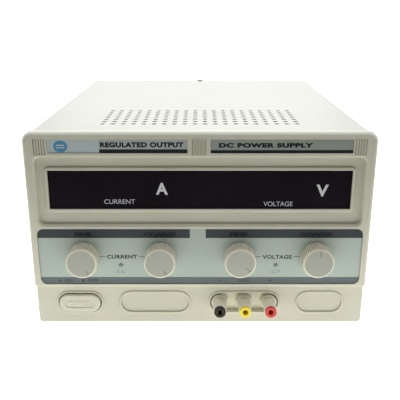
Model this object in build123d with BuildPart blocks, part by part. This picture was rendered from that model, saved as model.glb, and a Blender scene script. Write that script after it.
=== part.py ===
from build123d import *
from math import cos, sin, radians
import os

os.makedirs("parts", exist_ok=True)

# ---------------------------------------------------------------------------
# Bench power supply.  Millimetres; x is right, y is back, z is up.
# Depths (Y) are measured back from the bezel's front plane, heights (Z) up
# from the bottom edge of the case, which stands on four rubber feet.
# ---------------------------------------------------------------------------

# overall
foot_h = 4.0                 # feet lift the case off the bench
front_most = -14.1           # front ends of the binding posts
rear_most = 316.0            # face of the fuse drawer
front_y = -(front_most + rear_most) / 2    # puts the origin under the middle

# front bezel
bezel_w = 265.0
bezel_lo, bezel_hi = 33.3, 159.0
bezel_d = 6.3                # visible depth, back to the joint with the cover
bezel_corner = 8.0
bezel_edge = 3.4
bezel_foot_edge = 1.4

# display recess and window
recess_w, recess_h, recess_z = 249.8, 54.8, 112.4
recess_d = 4.2
window_w, window_h, window_z = 231.4, 30.8, 113.3
bead_w = 2.5

# printed overlay
overlay_w, overlay_lo, overlay_hi = 253.0, 35.8, 82.5
overlay_t = 0.8
overlay_face = 1.0

# label recesses
label_z, label_h, label_t = 148.05, 10.3, 0.4
label_left = (-113.6, -9.4)
label_right = (8.0, 113.9)

# rotary controls
knob_x = {"current_fine": -91.0, "current_coarse": -31.0,
          "voltage_coarse": 91.0, "voltage_fine": 31.0}
knob_turn = {"current_fine": 150.0, "current_coarse": 150.0,
             "voltage_fine": 128.0, "voltage_coarse": 8.0}
knob_z = 59.1
knob_r = 12.3
knob_front, knob_back = -13.5, 0.4
knob_ribs = 40
shaft_r = 3.0
led_x, led_z = {"current_led": -62.6, "voltage_led": 60.0}, 51.7

# lower panel
lower_w = 263.6
lower_face = 4.0
ring_front = 3.0
ring_z = 17.8
ring_h = 20.3
slot_h = 16.8
button_x, button_ring, button_slot = -97.2, 38.3, 34.8
long_x, long_ring, long_slot = -36.5, 58.2, 54.8
term_x, term_ring, term_slot = 35.75, 58.6, 55.1
right_x, right_ring, right_slot = 96.7, 39.4, 36.0
button_w, button_h = 33.2, 15.4
button_front = 1.0
button_travel = 3.5

# binding posts
post_pitch = 20.0
post_z = 17.8
post_x = {"black": term_x - post_pitch, "yellow": term_x,
          "red": term_x + post_pitch}
term_floor = 9.5
stud_r = 2.9
socket_r = 2.0               # takes a 4 mm plug
socket_d = 18.0
post_travel = 4.0             # how far a sleeve unscrews, 1 mm a turn

# case
cover_w = 256.0
cover_top = 158.0
cover_back = 313.0
sheet = 1.2
pan_t = 1.5
vent_d, vent_nx, vent_ny = 4.0, 20, 7
vent_px, vent_py, vent_y = 8.1, 9.9, 65.5
rear_face = 311.0            # outside of the rear panel
subpanel_y = 12.0            # front of the sheet that carries the controls

# rear fittings
fan_x, fan_z, fan_size = -70.0, 80.0, 80.0
fan_pitch = 71.5
inlet_x, inlet_z = 75.0, 60.0


def Y(d):
    return front_y + d


def Z(h):
    return foot_h + h


def facing(d):
    """Plane facing the user at depth d: local x and y are world x and z,
    and a positive extrusion comes forward."""
    return Plane(origin=(0, Y(d), 0), x_dir=(1, 0, 0), z_dir=(0, -1, 0))


def floor_plane(h):
    return Plane.XY.offset(Z(h))


def seat(x, d, h, normal):
    """Plane under a screw head, its normal pointing out of the head."""
    side = (0, 0, 1) if normal[2] == 0 else (1, 0, 0)
    return Plane(origin=(x, Y(d), Z(h)), x_dir=side, z_dir=normal)


# ---------------------------------------------------------------------------
# Front mouldings
# ---------------------------------------------------------------------------

with BuildPart() as front_bezel:
    with BuildSketch(facing(0)) as bezel_outline:
        with Locations((0, Z((bezel_lo + bezel_hi) / 2))):
            Rectangle(bezel_w, bezel_hi - bezel_lo)
        fillet(bezel_outline.vertices().group_by(Axis.Y)[-1], bezel_corner)
    extrude(amount=-bezel_d)
    front_edges = front_bezel.faces().sort_by(Axis.Y)[0].edges()
    fillet(front_edges.sort_by(Axis.Z)[1:], bezel_edge)
    fillet(front_bezel.edges().filter_by(Axis.X).group_by(Axis.Z)[0].sort_by(Axis.Y)[0], bezel_foot_edge)
    # display recess with nearly square walls
    with BuildSketch(facing(0)):
        with Locations((0, Z(recess_z))):
            RectangleRounded(recess_w, recess_h, 5.0)
    with BuildSketch(facing(recess_d)):
        with Locations((0, Z(recess_z))):
            RectangleRounded(recess_w - 1.2, recess_h - 1.0, 4.4)
    loft(mode=Mode.SUBTRACT)
    fillet(front_bezel.faces().sort_by(Axis.Y)[0].inner_wires()[0].edges(), 1.1)
    # raised bead round the window
    with BuildSketch(facing(recess_d)):
        with Locations((0, Z(window_z))):
            RectangleRounded(window_w + 2 * bead_w, window_h + 2 * bead_w, 3.4)
    extrude(amount=1.5)
    fillet(front_bezel.faces().filter_by(Axis.Y).group_by(Axis.Y)[1].edges(), 1.0)
    with BuildSketch(facing(0)):
        with Locations((0, Z(window_z))):
            RectangleRounded(window_w + 0.2, window_h + 0.2, 0.6)
    extrude(amount=-bezel_d, mode=Mode.SUBTRACT)
    # seat of the printed overlay
    with BuildSketch(facing(0)):
        with Locations((0, Z((overlay_lo + overlay_hi) / 2))):
            RectangleRounded(overlay_w + 0.4, overlay_hi - overlay_lo + 0.4, 5.2)
    extrude(amount=-(overlay_face + overlay_t), mode=Mode.SUBTRACT)
    # seats of the two label plates
    with BuildSketch(facing(0)):
        for lo, hi in (label_left, label_right):
            with Locations(((lo + hi) / 2, Z(label_z))):
                RectangleRounded(hi - lo + 0.3, label_h + 0.3, 0.8)
    extrude(amount=-1.0, mode=Mode.SUBTRACT)
    # grip grooves at both ends and between the labels
    with BuildSketch(facing(0)):
        for start, count in ((-123.4, 5), (-5.5, 6), (115.64, 5)):
            with Locations(*[(start + 1.94 * k, Z(147.6)) for k in range(count)]):
                SlotOverall(12.6, 0.95, rotation=90)
    extrude(amount=-0.9, mode=Mode.SUBTRACT)
    # spigot that enters the cover
    with BuildSketch(facing(bezel_d)):
        with Locations((0, Z(95.6))):
            RectangleRounded(252.8, 121.6, 3.5)
            RectangleRounded(247.8, 116.6, 2.0, mode=Mode.SUBTRACT)
    extrude(amount=-5.5)
    # cored out behind the overlay and behind the labels
    with BuildSketch(facing(bezel_d)):
        with Locations((0, Z(59.9))):
            Rectangle(246.0, 42.6)
        with Locations((0, Z(148.0))):
            Rectangle(246.0, 10.4)
    extrude(amount=2.0, mode=Mode.SUBTRACT)
    # bosses for the subpanel screws
    with BuildSketch(facing(bezel_d - 2.0)):
        with Locations((-116, Z(43)), (116, Z(43)), (-116, Z(148)), (116, Z(148))):
            Circle(4.0)
    extrude(amount=-(subpanel_y - bezel_d + 2.0))
    with BuildSketch(facing(subpanel_y)):
        with Locations((-116, Z(43)), (116, Z(43)), (-116, Z(148)), (116, Z(148))):
            Circle(1.5)
    extrude(amount=7.0, mode=Mode.SUBTRACT)
    # holes for the control shafts and the two indicators
    with BuildSketch(facing(0)):
        with Locations(*[(x, Z(knob_z)) for x in knob_x.values()]):
            Circle(4.5)
        with Locations(*[(x, Z(led_z)) for x in led_x.values()]):
            Circle(1.7)
    extrude(amount=-bezel_d, mode=Mode.SUBTRACT)
front_bezel.part.label = "front_bezel"
export_step(front_bezel.part, "parts/front_bezel.step")

slots = ((button_x, button_ring, button_slot), (long_x, long_ring, long_slot),
         (term_x, term_ring, term_slot), (right_x, right_ring, right_slot))

with BuildPart() as lower_front_panel:
    with BuildSketch(facing(lower_face)) as lower_outline:
        with Locations((0, Z((bezel_lo - 0.5) / 2))):
            Rectangle(lower_w, bezel_lo + 0.5)
        fillet(lower_outline.vertices().group_by(Axis.Y)[0], 2.6)
    extrude(amount=-(bezel_d - lower_face))
    lower_edges = lower_front_panel.faces().sort_by(Axis.Y)[0].edges()
    fillet(lower_edges.sort_by(Axis.Z)[:-1], 1.2)
    # step that enters the cover and meets the pan
    with BuildSketch(facing(bezel_d)):
        with Locations((0, Z(17.0))):
            Rectangle(252.8, 30.0)
    extrude(amount=-1.0)
    # raised obround rings
    with BuildSketch(facing(lower_face)):
        for x, ring, slot in slots:
            with Locations((x, Z(ring_z))):
                SlotOverall(ring, ring_h)
    extrude(amount=lower_face - ring_front)
    fillet(lower_front_panel.faces().filter_by(Axis.Y).group_by(Axis.Y)[0].edges(), 0.8)
    # collar behind the terminal opening
    with BuildSketch(facing(bezel_d + 1.0)):
        with Locations((term_x, Z(ring_z))):
            SlotOverall(term_slot + 5.0, slot_h + 5.0)
    extrude(amount=-(term_floor - bezel_d - 1.0))
    # the openings
    with BuildSketch(facing(ring_front)):
        for x, ring, slot in slots:
            with Locations((x, Z(ring_z))):
                SlotOverall(slot, slot_h)
    extrude(amount=-(term_floor - ring_front), mode=Mode.SUBTRACT)
    inner = ShapeList()
    for ring_face in lower_front_panel.faces().filter_by(Axis.Y).group_by(Axis.Y)[0]:
        inner += ring_face.inner_wires()[0].edges()
    fillet(inner, 0.5)
lower_front_panel.part.label = "lower_front_panel"
export_step(lower_front_panel.part, "parts/lower_front_panel.step")

with BuildPart() as display_window:
    with BuildSketch(facing(4.0)):
        with Locations((0, Z(window_z))):
            RectangleRounded(window_w, window_h, 0.5)
    extrude(amount=-(bezel_d - 4.0))
    with BuildSketch(facing(bezel_d)):
        with Locations((0, Z(window_z))):
            Rectangle(window_w + 6.0, window_h + 6.0)
    extrude(amount=-1.2)
display_window.part.label = "display_window"
export_step(display_window.part, "parts/display_window.step")

with BuildPart() as control_overlay:
    with BuildSketch(facing(overlay_face)):
        with Locations((0, Z((overlay_lo + overlay_hi) / 2))):
            RectangleRounded(overlay_w, overlay_hi - overlay_lo, 5.0)
        with Locations(*[(x, Z(knob_z)) for x in knob_x.values()]):
            Circle(4.5, mode=Mode.SUBTRACT)
        with Locations(*[(x, Z(led_z)) for x in led_x.values()]):
            Circle(1.7, mode=Mode.SUBTRACT)
    extrude(amount=-overlay_t)
control_overlay.part.label = "control_overlay"
export_step(control_overlay.part, "parts/control_overlay.step")

with BuildPart() as label_plate_left:
    with BuildSketch(facing(1.0 - label_t)):
        with Locations(((label_left[0] + label_left[1]) / 2, Z(label_z))):
            RectangleRounded(label_left[1] - label_left[0], label_h, 0.6)
    extrude(amount=-label_t)
label_plate_left.part.label = "label_plate_left"
export_step(label_plate_left.part, "parts/label_plate_left.step")

with BuildPart() as label_plate_right:
    with BuildSketch(facing(1.0 - label_t)):
        with Locations(((label_right[0] + label_right[1]) / 2, Z(label_z))):
            RectangleRounded(label_right[1] - label_right[0], label_h, 0.6)
    extrude(amount=-label_t)
label_plate_right.part.label = "label_plate_right"
export_step(label_plate_right.part, "parts/label_plate_right.step")

with BuildPart() as blank_plug_long:
    with BuildSketch(facing(4.3)):
        with Locations((long_x, Z(ring_z))):
            SlotOverall(long_slot - 0.2, slot_h - 0.2)
    extrude(amount=-(bezel_d + 1.0 - 4.3))
    fillet(blank_plug_long.faces().sort_by(Axis.Y)[0].edges(), 0.35)
    with BuildSketch(facing(bezel_d + 1.0)):
        with Locations((long_x, Z(ring_z))):
            SlotOverall(long_slot + 3.0, slot_h + 3.0)
    extrude(amount=-1.2)
blank_plug_long.part.label = "blank_plug_long"
export_step(blank_plug_long.part, "parts/blank_plug_long.step")

with BuildPart() as blank_plug_right:
    with BuildSketch(facing(4.3)):
        with Locations((right_x, Z(ring_z))):
            SlotOverall(right_slot - 0.2, slot_h - 0.2)
    extrude(amount=-(bezel_d + 1.0 - 4.3))
    fillet(blank_plug_right.faces().sort_by(Axis.Y)[0].edges(), 0.35)
    with BuildSketch(facing(bezel_d + 1.0)):
        with Locations((right_x, Z(ring_z))):
            SlotOverall(right_slot + 3.0, slot_h + 3.0)
    extrude(amount=-1.2)
blank_plug_right.part.label = "blank_plug_right"
export_step(blank_plug_right.part, "parts/blank_plug_right.step")

# ---------------------------------------------------------------------------
# Rotary controls: knob, shaft, potentiometer, nut
# ---------------------------------------------------------------------------

for control, x in knob_x.items():
    turn = knob_turn[control]
    teeth = []
    for k in range(knob_ribs):
        for share, r in ((-0.27, knob_r), (0.27, knob_r), (0.5, knob_r - 0.8)):
            a = radians(360.0 * (k + share) / knob_ribs)
            teeth.append((x + r * sin(a), Z(knob_z) + r * cos(a)))
    with BuildPart() as knob:
        with BuildSketch(facing(knob_back)):
            with BuildLine():
                Polyline(*teeth, close=True)
            make_face()
        extrude(amount=knob_back - (knob_front + 1.6))
        with BuildSketch(facing(knob_front + 1.6)):
            with Locations((x, Z(knob_z))):
                Circle(knob_r - 0.15)
        extrude(amount=1.6)
        fillet(knob.faces().sort_by(Axis.Y)[0].edges(), 1.5)
        # shaft socket
        with BuildSketch(facing(knob_back)):
            with Locations((x, Z(knob_z))):
                Circle(shaft_r)
        extrude(amount=11.0, mode=Mode.SUBTRACT)
        # pointer groove on the face
        pointer = 8.0
        with BuildSketch(facing(knob_front)):
            with Locations((x + pointer * sin(radians(turn)),
                            Z(knob_z) + pointer * cos(radians(turn)))):
                Rectangle(0.8, 4.8, rotation=-turn)
        extrude(amount=-0.4, mode=Mode.SUBTRACT)
    knob.part.label = "knob_" + control
    export_step(knob.part, "parts/knob_" + control + ".step")

    with BuildPart() as pot_shaft:
        with BuildSketch(facing(knob_back - 11.0)):
            with Locations((x, Z(knob_z))):
                Circle(shaft_r)
        extrude(amount=-(20.0 - knob_back + 11.0))
    pot_shaft.part.label = "pot_shaft_" + control
    export_step(pot_shaft.part, "parts/pot_shaft_" + control + ".step")

pot_places = [(x, Z(knob_z)) for x in knob_x.values()]
with BuildPart() as potentiometers:
    with BuildSketch(facing(6.6)):
        with Locations(*pot_places):
            Circle(3.5)
    extrude(amount=-(subpanel_y + sheet - 6.6))
    with BuildSketch(facing(subpanel_y + sheet)):
        with Locations(*pot_places):
            Circle(8.25)
    extrude(amount=-9.5)
    with BuildSketch(facing(15.0)):
        for px, pz in pot_places:
            with Locations((px - 5, pz - 8), (px, pz - 10), (px + 5, pz - 8)):
                Rectangle(1.6, 10.0)
    extrude(amount=-1.2)
    with BuildSketch(facing(6.6)):
        with Locations(*pot_places):
            Circle(shaft_r + 0.06)
    extrude(amount=-(20.4 - 6.6), mode=Mode.SUBTRACT)
potentiometers.part.label = "potentiometers"
export_step(potentiometers.part, "parts/potentiometers.step")

with BuildPart() as pot_nuts:
    with BuildSketch(facing(subpanel_y)):
        with Locations(*pot_places):
            RegularPolygon(5.0, 6, major_radius=False)
            Circle(3.5, mode=Mode.SUBTRACT)
    extrude(amount=2.2)
pot_nuts.part.label = "pot_nuts"
export_step(pot_nuts.part, "parts/pot_nuts.step")

# ---------------------------------------------------------------------------
# Power switch
# ---------------------------------------------------------------------------

with BuildPart() as power_button:
    with BuildSketch(facing(button_front)):
        with Locations((button_x, Z(ring_z))):
            SlotOverall(button_w, button_h)
    extrude(amount=-(8.0 - button_front))
    fillet(power_button.faces().sort_by(Axis.Y)[0].edges(), 1.3)
    with BuildSketch(facing(button_front)):
        with Locations((button_x, Z(ring_z))):
            SlotOverall(24.0, 7.6)
    extrude(amount=-0.5, mode=Mode.SUBTRACT)
power_button.part.label = "power_button"
export_step(power_button.part, "parts/power_button.step")

with BuildPart() as switch_plunger:
    with BuildSketch(facing(8.0)):
        with Locations((button_x, Z(ring_z))):
            Rectangle(5.4, 5.4)
    extrude(amount=-16.0)
switch_plunger.part.label = "switch_plunger"
export_step(switch_plunger.part, "parts/switch_plunger.step")

with BuildPart() as power_switch:
    with BuildSketch(facing(subpanel_y + sheet)):
        with Locations((button_x, Z(ring_z))):
            Rectangle(18.0, 15.0)
    extrude(amount=-26.0)
    with BuildSketch(facing(subpanel_y + sheet)):
        with Locations((button_x, Z(ring_z))):
            Rectangle(6.2, 6.2)
    extrude(amount=-15.5, mode=Mode.SUBTRACT)
    with BuildSketch(facing(subpanel_y + sheet + 26.0)):
        with Locations((button_x, Z(ring_z))):
            with GridLocations(8.0, 6.0, 2, 2):
                Rectangle(1.0, 2.4)
    extrude(amount=-5.0)
power_switch.part.label = "power_switch"
export_step(power_switch.part, "parts/power_switch.step")

# ---------------------------------------------------------------------------
# Output terminals
# ---------------------------------------------------------------------------

post_places = [(x, Z(post_z)) for x in post_x.values()]

with BuildPart() as terminal_plate:
    with BuildSketch(facing(term_floor)):
        with Locations((term_x, Z(ring_z))):
            SlotOverall(term_slot + 6.0, slot_h + 6.0)
        with Locations(*post_places):
            Circle(3.1, mode=Mode.SUBTRACT)
    extrude(amount=-2.5)
terminal_plate.part.label = "terminal_plate"
export_step(terminal_plate.part, "parts/terminal_plate.step")

with BuildPart() as post_bases:
    with BuildSketch(facing(term_floor)):
        with Locations(*post_places):
            Circle(6.5)
    extrude(amount=term_floor - 2.5)
    chamfer(post_bases.faces().filter_by(Axis.Y).group_by(Axis.Y)[0].edges(), 0.8)
    with BuildSketch(facing(2.5)):
        with Locations(*post_places):
            Circle(3.1)
    extrude(amount=-(term_floor - 2.5), mode=Mode.SUBTRACT)
post_bases.part.label = "post_bases"
export_step(post_bases.part, "parts/post_bases.step")

for colour, x in post_x.items():
    with BuildPart() as post_stud:
        with BuildSketch(facing(-13.0)):
            with Locations((x, Z(post_z))):
                Circle(stud_r)
        extrude(amount=-(24.0 + 13.0))
        with BuildSketch(facing(-13.0)):
            with Locations((x, Z(post_z))):
                Circle(socket_r)
        extrude(amount=-socket_d, mode=Mode.SUBTRACT)
    post_stud.part.label = "post_stud_" + colour
    export_step(post_stud.part, "parts/post_stud_" + colour + ".step")

    grips = []
    for k in range(48):
        a = radians(7.5 * k)
        r = 5.2 if k % 2 == 0 else 4.85
        grips.append((x + r * sin(a), Z(post_z) + r * cos(a)))
    with BuildPart() as post_sleeve:
        with BuildSketch(facing(2.2)):
            with Locations((x, Z(post_z))):
                Circle(5.0)
        extrude(amount=1.6)
        with BuildSketch(facing(0.6)):
            with BuildLine():
                Polyline(*grips, close=True)
            make_face()
        extrude(amount=10.6)
        with BuildSketch(facing(-10.0)):
            with Locations((x, Z(post_z))):
                Circle(4.9)
        extrude(amount=1.4, taper=12)
        with BuildSketch(facing(2.2)):
            with Locations((x, Z(post_z))):
                Circle(stud_r + 0.3)
        extrude(amount=13.6, mode=Mode.SUBTRACT)
    post_sleeve.part.label = "post_sleeve_" + colour
    export_step(post_sleeve.part, "parts/post_sleeve_" + colour + ".step")

    with BuildPart() as post_ring:
        with BuildSketch(facing(-11.5)):
            with Locations((x, Z(post_z))):
                Circle(4.6)
        extrude(amount=2.6)
        fillet(post_ring.faces().sort_by(Axis.Y)[0].edges(), 0.6)
        with BuildSketch(facing(-11.5)):
            with Locations((x, Z(post_z))):
                Circle(3.15)
        extrude(amount=1.7, mode=Mode.SUBTRACT)
        with BuildSketch(facing(-13.2)):
            with Locations((x, Z(post_z))):
                Circle(2.3)
        extrude(amount=0.9, mode=Mode.SUBTRACT)
    post_ring.part.label = "post_ring_" + colour
    export_step(post_ring.part, "parts/post_ring_" + colour + ".step")

with BuildPart() as terminal_nuts:
    with BuildSketch(facing(term_floor + 2.5)):
        with Locations(*post_places):
            RegularPolygon(5.0, 6, major_radius=False)
            Circle(stud_r, mode=Mode.SUBTRACT)
    extrude(amount=-3.2)
terminal_nuts.part.label = "terminal_nuts"
export_step(terminal_nuts.part, "parts/terminal_nuts.step")

# ---------------------------------------------------------------------------
# Indicators and displays
# ---------------------------------------------------------------------------

for lamp, x in led_x.items():
    with BuildPart() as led:
        with BuildSketch(facing(6.0)):
            with Locations((x, Z(led_z))):
                Circle(1.5)
        extrude(amount=6.2)
        fillet(led.faces().sort_by(Axis.Y)[0].edges(), 1.2)
        with BuildSketch(facing(6.0)):
            with Locations((x, Z(led_z))):
                Circle(2.4)
        extrude(amount=-(subpanel_y - 6.0))
        with BuildSketch(facing(subpanel_y)):
            with Locations((x - 1.27, Z(led_z)), (x + 1.27, Z(led_z))):
                Rectangle(0.6, 0.6)
        extrude(amount=-8.0)
    led.part.label = lamp
    export_step(led.part, "parts/" + lamp + ".step")

with BuildPart() as digit_displays:
    with BuildSketch(facing(7.8)):
        with Locations((-66.0, Z(window_z)), (56.0, Z(window_z))):
            Rectangle(50.3, 19.0)
    extrude(amount=-7.7)
digit_displays.part.label = "digit_displays"
export_step(digit_displays.part, "parts/digit_displays.step")

with BuildPart() as display_board:
    with BuildSketch(facing(15.5)):
        with Locations((0, Z(114.0))):
            Rectangle(224.0, 40.0)
    extrude(amount=-1.6)
    with BuildSketch(facing(17.1)):
        with Locations((-66.0, Z(114.0)), (0, Z(114.0)), (56.0, Z(114.0))):
            Rectangle(18.0, 8.0)
    extrude(amount=-3.0)
display_board.part.label = "display_board"
export_step(display_board.part, "parts/display_board.step")

# ---------------------------------------------------------------------------
# Case
# ---------------------------------------------------------------------------

with BuildPart() as front_subpanel:
    with BuildSketch(facing(subpanel_y)):
        with Locations((0, Z(pan_t + 75.2))):
            Rectangle(244.0, 150.4)
        with Locations((0, Z(window_z))):
            Rectangle(230.0, 44.0, mode=Mode.SUBTRACT)
        with Locations(*pot_places):
            Circle(3.6, mode=Mode.SUBTRACT)
        with Locations(*[(x, Z(led_z)) for x in led_x.values()]):
            Circle(1.9, mode=Mode.SUBTRACT)
        with Locations((button_x, Z(ring_z))):
            Rectangle(12.0, 12.0, mode=Mode.SUBTRACT)
        with Locations((term_x, Z(post_z))):
            SlotOverall(52.0, 12.0, mode=Mode.SUBTRACT)
        with Locations((-116, Z(43)), (116, Z(43)), (-116, Z(148)), (116, Z(148))):
            Circle(1.6, mode=Mode.SUBTRACT)
    extrude(amount=-sheet)
    with BuildSketch(facing(subpanel_y + sheet)):
        with Locations((0, Z(pan_t + 0.6))):
            Rectangle(190.0, 1.2)
    extrude(amount=-6.0)
front_subpanel.part.label = "front_subpanel"
export_step(front_subpanel.part, "parts/front_subpanel.step")

side_screws = [(s * cover_w / 2, d, 10.0, (s, 0, 0)) for s in (-1, 1) for d in (60.0, 262.0)]
top_screw = [(0.0, 307.0, cover_top, (0, 0, 1))]

with BuildPart() as top_cover:
    with BuildSketch(facing(bezel_d)) as cover_profile:
        with Locations((0, Z((0.5 + cover_top) / 2))):
            Rectangle(cover_w, cover_top - 0.5)
        fillet(cover_profile.vertices().group_by(Axis.Y)[-1], 3.0)
        with Locations((0, Z(cover_top - sheet - 90.0))):
            RectangleRounded(cover_w - 2 * sheet, 180.0, 1.8, mode=Mode.SUBTRACT)
    extrude(amount=-(cover_back - bezel_d))
    with BuildSketch(floor_plane(cover_top)):
        with Locations((0, Y(vent_y))):
            with GridLocations(vent_px, vent_py, vent_nx, vent_ny):
                Circle(vent_d / 2)
        with Locations((0, Y(307.0))):
            Circle(1.7)
    extrude(amount=-sheet, mode=Mode.SUBTRACT)
    with BuildSketch(Plane.YZ.offset(-cover_w / 2)):
        with Locations((Y(60.0), Z(10.0)), (Y(262.0), Z(10.0))):
            Circle(1.7)
    extrude(amount=cover_w, mode=Mode.SUBTRACT)
top_cover.part.label = "top_cover"
export_step(top_cover.part, "parts/top_cover.step")

foot_places = [(x, Y(d)) for x in (-104.0, 104.0) for d in (34.0, 286.0)]
standoff_places = [(x, Y(d)) for x in (-112.0, -10.0) for d in (66.0, 182.0)]

with BuildPart() as chassis_pan:
    with BuildSketch(facing(bezel_d + 1.2)) as pan_profile:
        with Locations((0, Z(10.5))):
            Rectangle(cover_w - 2 * sheet - 0.4, 21.0)
        fillet(pan_profile.vertices().group_by(Axis.Y)[0], 2.0)
        with Locations((0, Z(pan_t + 20.0))):
            Rectangle(cover_w - 2 * sheet - 0.4 - 2 * pan_t, 40.0, mode=Mode.SUBTRACT)
    extrude(amount=-(309.3 - bezel_d - 1.2))
    # rear lip behind which the rear panel stands
    with BuildSketch(facing(307.8)):
        with Locations((0, Z(pan_t + 5.5))):
            Rectangle(240.0, 11.0)
    extrude(amount=-1.5)
    with BuildSketch(facing(307.8)):
        with Locations((-100, Z(8)), (0, Z(8)), (100, Z(8))):
            Circle(1.5)
    extrude(amount=-1.5, mode=Mode.SUBTRACT)
    with BuildSketch(floor_plane(0)):
        with Locations(*foot_places):
            Circle(2.0)
    extrude(amount=pan_t, mode=Mode.SUBTRACT)
    with BuildSketch(Plane.YZ.offset(-cover_w / 2)):
        with Locations((Y(60.0), Z(10.0)), (Y(262.0), Z(10.0))):
            Circle(1.5)
    extrude(amount=cover_w, mode=Mode.SUBTRACT)
chassis_pan.part.label = "chassis_pan"
export_step(chassis_pan.part, "parts/chassis_pan.step")

with BuildPart() as rubber_feet:
    with BuildSketch(Plane.XY):
        with Locations(*foot_places):
            Circle(8.0)
    extrude(amount=foot_h)
    chamfer(rubber_feet.faces().filter_by(Axis.Z).group_by(Axis.Z)[0].edges(), 0.8)
    with BuildSketch(floor_plane(0)):
        with Locations(*foot_places):
            Circle(2.0)
    extrude(amount=4.0)
rubber_feet.part.label = "rubber_feet"
export_step(rubber_feet.part, "parts/rubber_feet.step")

with BuildPart() as rear_panel:
    with BuildSketch(facing(rear_face - pan_t)):
        with Locations((0, Z(79.2))):
            RectangleRounded(252.8, 154.4, 2.2)
    extrude(amount=-pan_t)
    # tab under the cover's top screw
    with BuildSketch(facing(rear_face - pan_t)):
        with Locations((0, Z(156.4 - pan_t / 2))):
            Rectangle(24.0, pan_t)
    extrude(amount=10.0)
    with BuildSketch(facing(rear_face - pan_t)):
        with Locations((fan_x, Z(fan_z))):
            Circle(38.0)
            with GridLocations(fan_pitch, fan_pitch, 2, 2):
                Circle(2.2)
        with Locations((inlet_x, Z(inlet_z))):
            Rectangle(27.6, 31.4)
        with Locations((inlet_x - 20.0, Z(inlet_z)), (inlet_x + 20.0, Z(inlet_z))):
            Circle(1.7)
        with Locations((-100, Z(8)), (0, Z(8)), (100, Z(8))):
            Circle(1.7)
    extrude(amount=-pan_t, mode=Mode.SUBTRACT)
    with BuildSketch(floor_plane(156.4)):
        with Locations((0, Y(307.0))):
            Circle(1.5)
    extrude(amount=-pan_t, mode=Mode.SUBTRACT)
rear_panel.part.label = "rear_panel"
export_step(rear_panel.part, "parts/rear_panel.step")

# ---------------------------------------------------------------------------
# Fan
# ---------------------------------------------------------------------------

fan_back = rear_face - pan_t
with BuildPart() as fan_frame:
    with BuildSketch(facing(fan_back)):
        with Locations((fan_x, Z(fan_z))):
            RectangleRounded(fan_size, fan_size, 5.0)
            Circle(38.5, mode=Mode.SUBTRACT)
            with GridLocations(fan_pitch, fan_pitch, 2, 2):
                Circle(2.2, mode=Mode.SUBTRACT)
    extrude(amount=25.0)
    # motor seat on four struts, with the bearing pin
    with BuildSketch(facing(fan_back)):
        with Locations((fan_x, Z(fan_z))):
            Circle(19.0)
            Rectangle(78.0, 4.0, rotation=45)
            Rectangle(78.0, 4.0, rotation=-45)
    extrude(amount=3.5)
    with BuildSketch(facing(fan_back - 3.5)):
        with Locations((fan_x, Z(fan_z))):
            Circle(1.5)
    extrude(amount=12.0)
fan_frame.part.label = "fan_frame"
export_step(fan_frame.part, "parts/fan_frame.step")

with BuildPart() as fan_rotor:
    with BuildSketch(facing(fan_back - 4.5)):
        with Locations((fan_x, Z(fan_z))):
            Circle(18.0)
    extrude(amount=18.0)
    fillet(fan_rotor.faces().sort_by(Axis.Y)[0].edges(), 1.5)
    # seven pitched blades
    for k in range(7):
        a = 360.0 * k / 7
        radial = (sin(radians(a)), 0, cos(radians(a)))
        tangent = (cos(radians(a)), 0, -sin(radians(a)))
        lean = radians(52.0)
        across = (tangent[0] * sin(lean), cos(lean), tangent[2] * sin(lean))
        blade_plane = Plane(origin=(fan_x + 27.0 * radial[0], Y(fan_back - 13.5),
                                    Z(fan_z) + 27.0 * radial[2]),
                            x_dir=across, z_dir=radial)
        with BuildSketch(blade_plane):
            Rectangle(20.0, 1.6)
        extrude(amount=9.8)
        with BuildSketch(blade_plane):
            Rectangle(20.0, 1.6)
        extrude(amount=-10.5)
    # clear the bearing pin
    with BuildSketch(facing(fan_back - 3.5)):
        with Locations((fan_x, Z(fan_z))):
            Circle(1.56)
    extrude(amount=13.0, mode=Mode.SUBTRACT)
fan_rotor.part.label = "fan_rotor"
export_step(fan_rotor.part, "parts/fan_rotor.step")

with BuildPart() as fan_guard:
    with BuildSketch(facing(rear_face)):
        with Locations((fan_x, Z(fan_z))):
            for r in (36.5, 30.0, 23.5, 17.0, 10.5):
                Circle(r)
                Circle(r - 1.7, mode=Mode.SUBTRACT)
            Circle(4.5)
            Rectangle(1.7, 71.0)
            Rectangle(71.0, 1.7)
            with GridLocations(fan_pitch, fan_pitch, 2, 2):
                Circle(4.2)
            with PolarLocations(43.0, 4, start_angle=45):
                Rectangle(18.0, 3.4)
            with GridLocations(fan_pitch, fan_pitch, 2, 2):
                Circle(1.7, mode=Mode.SUBTRACT)
    extrude(amount=-1.5)
fan_guard.part.label = "fan_guard"
export_step(fan_guard.part, "parts/fan_guard.step")

# ---------------------------------------------------------------------------
# Mains inlet
# ---------------------------------------------------------------------------

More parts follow.
